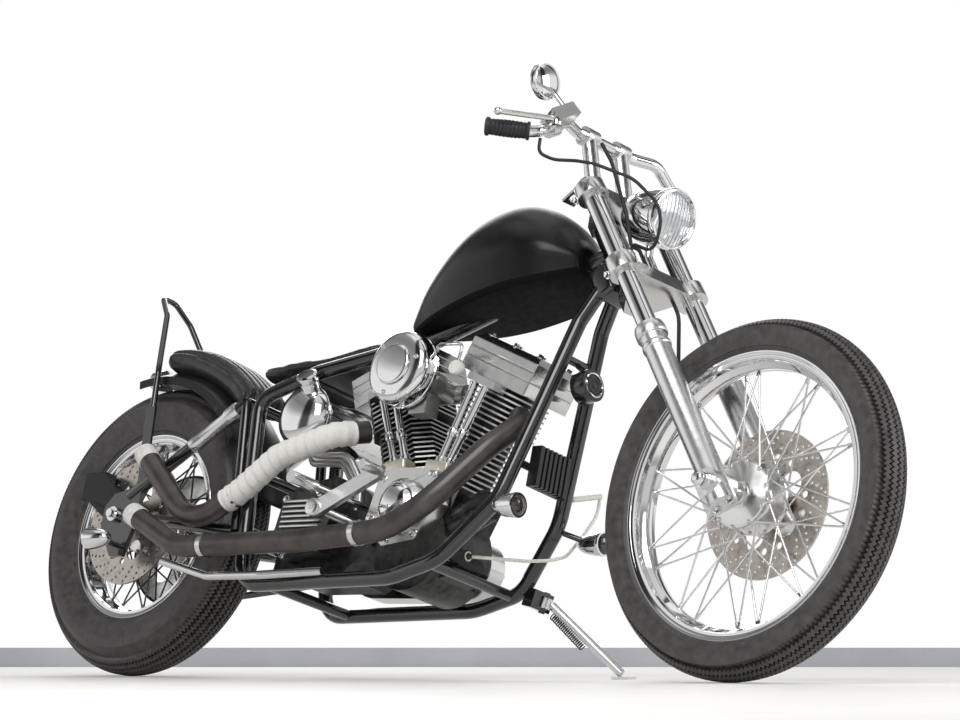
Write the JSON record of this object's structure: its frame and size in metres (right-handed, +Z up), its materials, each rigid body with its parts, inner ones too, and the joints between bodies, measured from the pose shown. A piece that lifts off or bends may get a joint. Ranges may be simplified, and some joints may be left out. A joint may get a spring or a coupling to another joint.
{
  "type": "chopper motorcycle",
  "caption": "Long-fork chopper with a V engine, peanut-style tank, wire wheels, swept exhausts, solo seat and pillion pad, leaning on its side stand with the bar turned slightly.",
  "frame": {"origin": "bottom centre of the bounding box of the parked machine", "axes": "+X forward along the machine, +Y to the machine's left, +Z up; it leans to its left on the stand"},
  "size_m": [2.3635, 0.799, 1.2477],
  "materials": {
    "frame_paint": "gloss black",
    "tank_paint": "satin black",
    "chrome": "polished",
    "alloy": "satin polished",
    "steel": "brushed",
    "iron": "black with bright fin edges",
    "exhaust": "heat stained",
    "tyre": "matt",
    "rubber": "matt",
    "leather": "stitched",
    "plastic": "matt",
    "glass": "clear",
    "belt": "toothed"
  },
  "bodies": {
    "chassis": {"frame": "frame_paint", "swingarm": "frame_paint", "rear_axle": "chrome", "rear_fender": "tank_paint", "pillion_pad": "leather", "seat": "leather", "sissy_bar": "chrome", "fuel_tank": "tank_paint", "engine_case": "alloy", "cylinder_front": "iron", "cylinder_rear": "iron", "rocker_box_front": "alloy", "rocker_box_rear": "alloy", "pushrod_tubes": "chrome", "cam_cover": "alloy", "air_cleaner": "chrome", "carburettor": "alloy", "gearbox": "alloy", "primary_cover": "alloy", "drive_belt": "belt", "oil_tank": "chrome", "exhaust_front": "exhaust", "exhaust_rear": "exhaust", "exhaust_bracket": "frame_paint", "brake_pedal": "alloy", "foot_pegs": "alloy", "horn": "plastic", "regulator": "plastic", "signals": "chrome", "tail_light": "chrome", "rear_caliper": "alloy", "clutch_cable": "rubber"},
    "steering": {"lower_clamp": "alloy", "top_clamp": "alloy", "fork_tubes": "chrome", "fork_sliders": "alloy", "front_axle": "chrome", "handlebar": "chrome", "risers": "alloy", "grips": "rubber", "headlamp": "chrome", "headlamp_lens": "glass", "brake_lever": "alloy", "mirror": "chrome", "front_caliper": "alloy", "control_cables": "rubber"},
    "front_wheel": {"front_tyre": "tyre", "front_rim": "chrome", "front_hub": "chrome", "front_spokes": "chrome", "front_disc": "steel"},
    "rear_wheel": {"rear_tyre": "tyre", "rear_rim": "chrome", "rear_hub": "chrome", "rear_spokes": "chrome", "rear_disc": "steel", "rear_pulley": "alloy"},
    "side_stand": {"side_stand": "frame_paint"}
  },
  "joints": [
    {"name": "steering", "type": "hinge", "parent": "chassis", "child": "steering", "pos_m": [0.78454, -0.08905, 0.31071], "axis": [-0.5592, 0.2104, 0.8019], "range_deg": [-25.5, 34.5]},
    {"name": "front_wheel_spin", "type": "hinge", "parent": "steering", "child": "front_wheel", "pos_m": [0.83248, -0.08525, 0.34314], "axis": [0.065, 0.9754, -0.2105], "continuous": true},
    {"name": "rear_wheel_spin", "type": "hinge", "parent": "chassis", "child": "rear_wheel", "pos_m": [-0.84483, -0.08449, 0.3281], "axis": [0, 0.9673, -0.2538], "continuous": true},
    {"name": "side_stand", "type": "hinge", "parent": "chassis", "child": "side_stand", "pos_m": [0.20717, 0.04782, 0.15464], "axis": [0.1908, 0.2491, 0.9495], "range_deg": [0, 146]}
  ]
}
